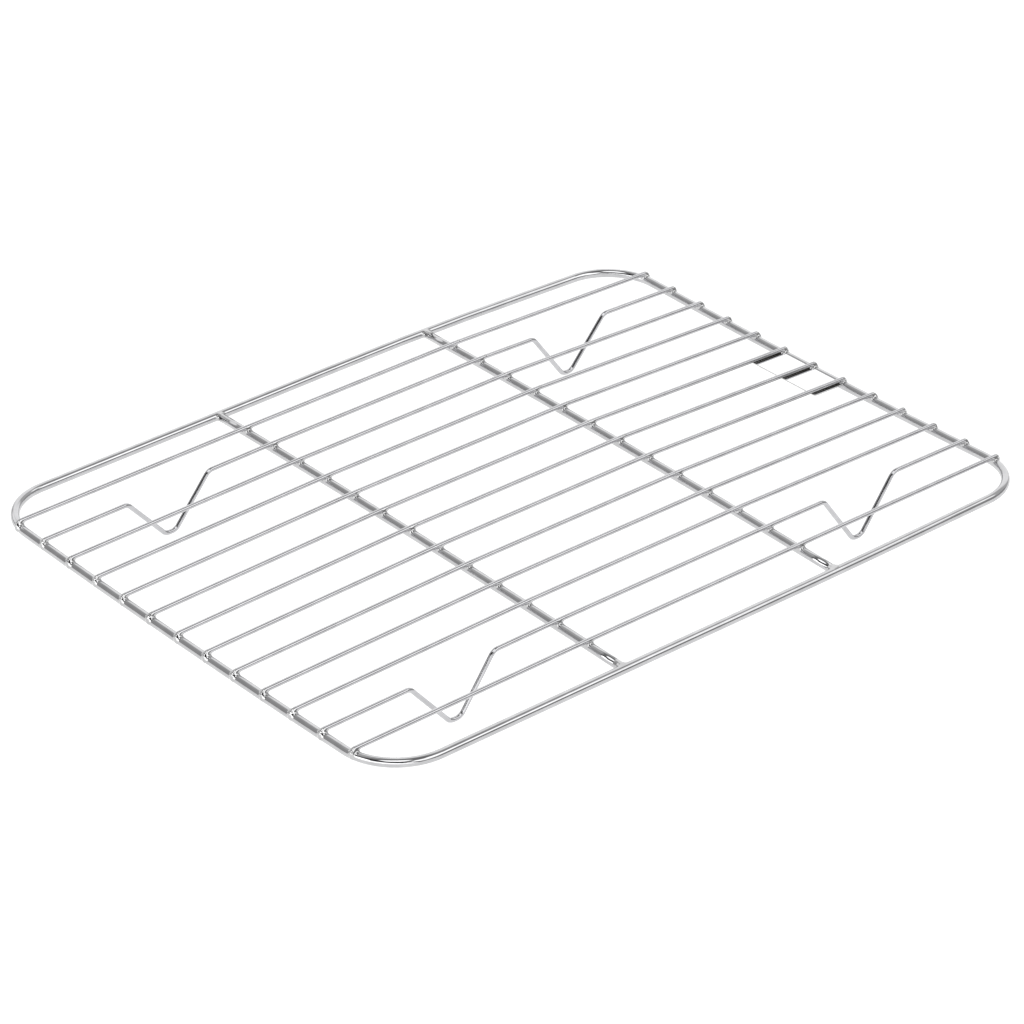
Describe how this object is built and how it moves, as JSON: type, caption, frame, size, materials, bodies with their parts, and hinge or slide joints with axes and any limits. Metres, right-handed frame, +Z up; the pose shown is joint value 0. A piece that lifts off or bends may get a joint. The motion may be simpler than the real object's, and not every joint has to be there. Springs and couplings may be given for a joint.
{
  "type": "cooling rack",
  "caption": "Rectangular wire cooling rack: thick rounded frame with crossbars, thin grid wires welded on top, V-shaped feet bent from the wires, small blank plate at one end.",
  "frame": {"origin": "centre of the rack, at the height of the surface that the four feet stand on", "axes": "+X along the grid wires, towards the end with the name plate; +Y across them; +Z up"},
  "size_m": [0.3762, 0.2892, 0.0297],
  "materials": {
    "frame_wire": "electropolished stainless steel wire, 4.2 mm",
    "grid_wire": "electropolished stainless steel wire, 2.2 mm",
    "plate": "mirror-polished stainless sheet, blank"
  },
  "bodies": {
    "root": {"frame_hoop": "frame_wire", "crossbar_left": "frame_wire", "crossbar_right": "frame_wire", "grid_wire_01": "grid_wire", "foot_wire_far": "grid_wire", "grid_wire_03": "grid_wire", "grid_wire_04": "grid_wire", "grid_wire_05": "grid_wire", "grid_wire_06": "grid_wire", "grid_wire_07": "grid_wire", "grid_wire_08": "grid_wire", "grid_wire_09": "grid_wire", "grid_wire_10": "grid_wire", "grid_wire_11": "grid_wire", "foot_wire_near": "grid_wire", "grid_wire_13": "grid_wire", "name_plate": "plate"}
  },
  "joints": []
}
